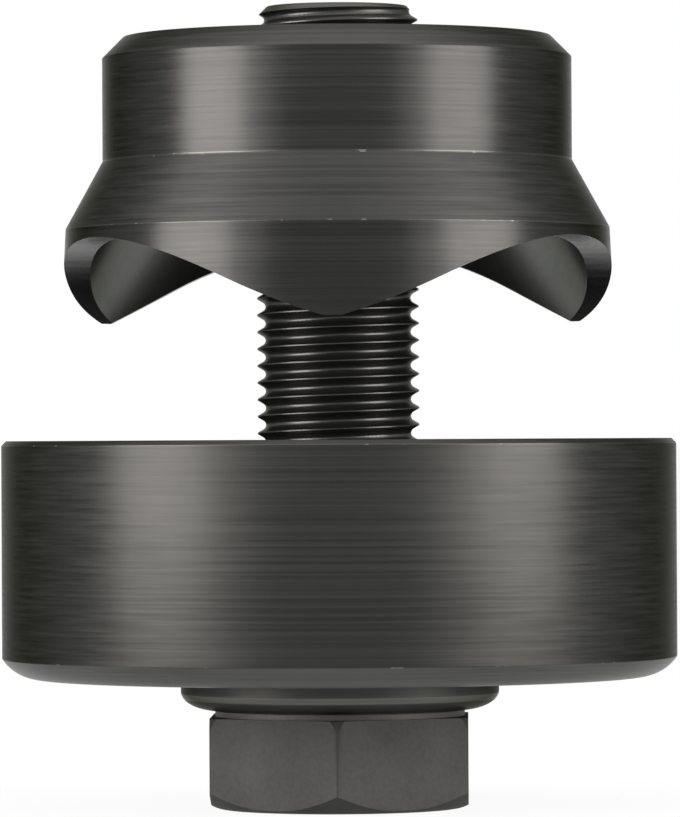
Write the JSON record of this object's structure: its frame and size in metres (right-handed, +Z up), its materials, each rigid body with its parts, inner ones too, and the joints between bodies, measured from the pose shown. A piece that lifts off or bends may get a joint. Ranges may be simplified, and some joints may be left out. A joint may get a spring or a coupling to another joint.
{
  "type": "knockout punch",
  "caption": "Round knockout punch with a lobed cutter drawn into a cup die by a hex-headed screw on a ball thrust bearing.",
  "frame": {"origin": "centre of the hex head's foot, on the axis of the draw screw", "axes": "+Z up the draw screw from its head to the punch; one cutting lobe and one corner of the hexagon point along -Y"},
  "size_m": [0.05, 0.05, 0.0594],
  "materials": {
    "blackened_screw": "matt black oxide on turned steel",
    "blackened_die": "black oxide over fine turning lines",
    "blackened_punch": "black oxide over fine turning lines",
    "race_steel": "blackened hardened steel",
    "ball_steel": "ground and polished bearing steel",
    "cage_brass": "plain brass"
  },
  "bodies": {
    "die_body": {"die": "blackened_die", "housing_washer": "race_steel"},
    "screw_body": {"draw_screw": "blackened_screw", "shaft_washer": "race_steel"},
    "punch_body": {"punch": "blackened_punch"},
    "ball_ring": {"ball_cage": "cage_brass", "ball_01": "ball_steel", "ball_02": "ball_steel", "ball_03": "ball_steel", "ball_04": "ball_steel", "ball_05": "ball_steel", "ball_06": "ball_steel", "ball_07": "ball_steel", "ball_08": "ball_steel", "ball_09": "ball_steel", "ball_10": "ball_steel", "ball_11": "ball_steel", "ball_12": "ball_steel", "ball_13": "ball_steel", "ball_14": "ball_steel"}
  },
  "joints": [
    {"name": "screw_turn", "type": "hinge", "parent": "die_body", "child": "screw_body", "pos_m": [0, 0, 0.0073], "axis": [0, 0, 1], "range_deg": [-4177, 4753]},
    {"name": "punch_travel", "type": "slide", "parent": "die_body", "child": "punch_body", "axis": [0, 0, 1], "range_m": [-0.0165, 0.0145]},
    {"name": "ball_orbit", "type": "hinge", "parent": "die_body", "child": "ball_ring", "pos_m": [0, 0, 0.01102], "axis": [0, 0, 1], "range_deg": [-2089, 2377]}
  ],
  "couplings": [
    {"joint": "screw_turn", "follows": "punch_travel", "rad_per_m": -5026.5},
    {"joint": "ball_orbit", "follows": "punch_travel", "rad_per_m": -2513.3}
  ]
}
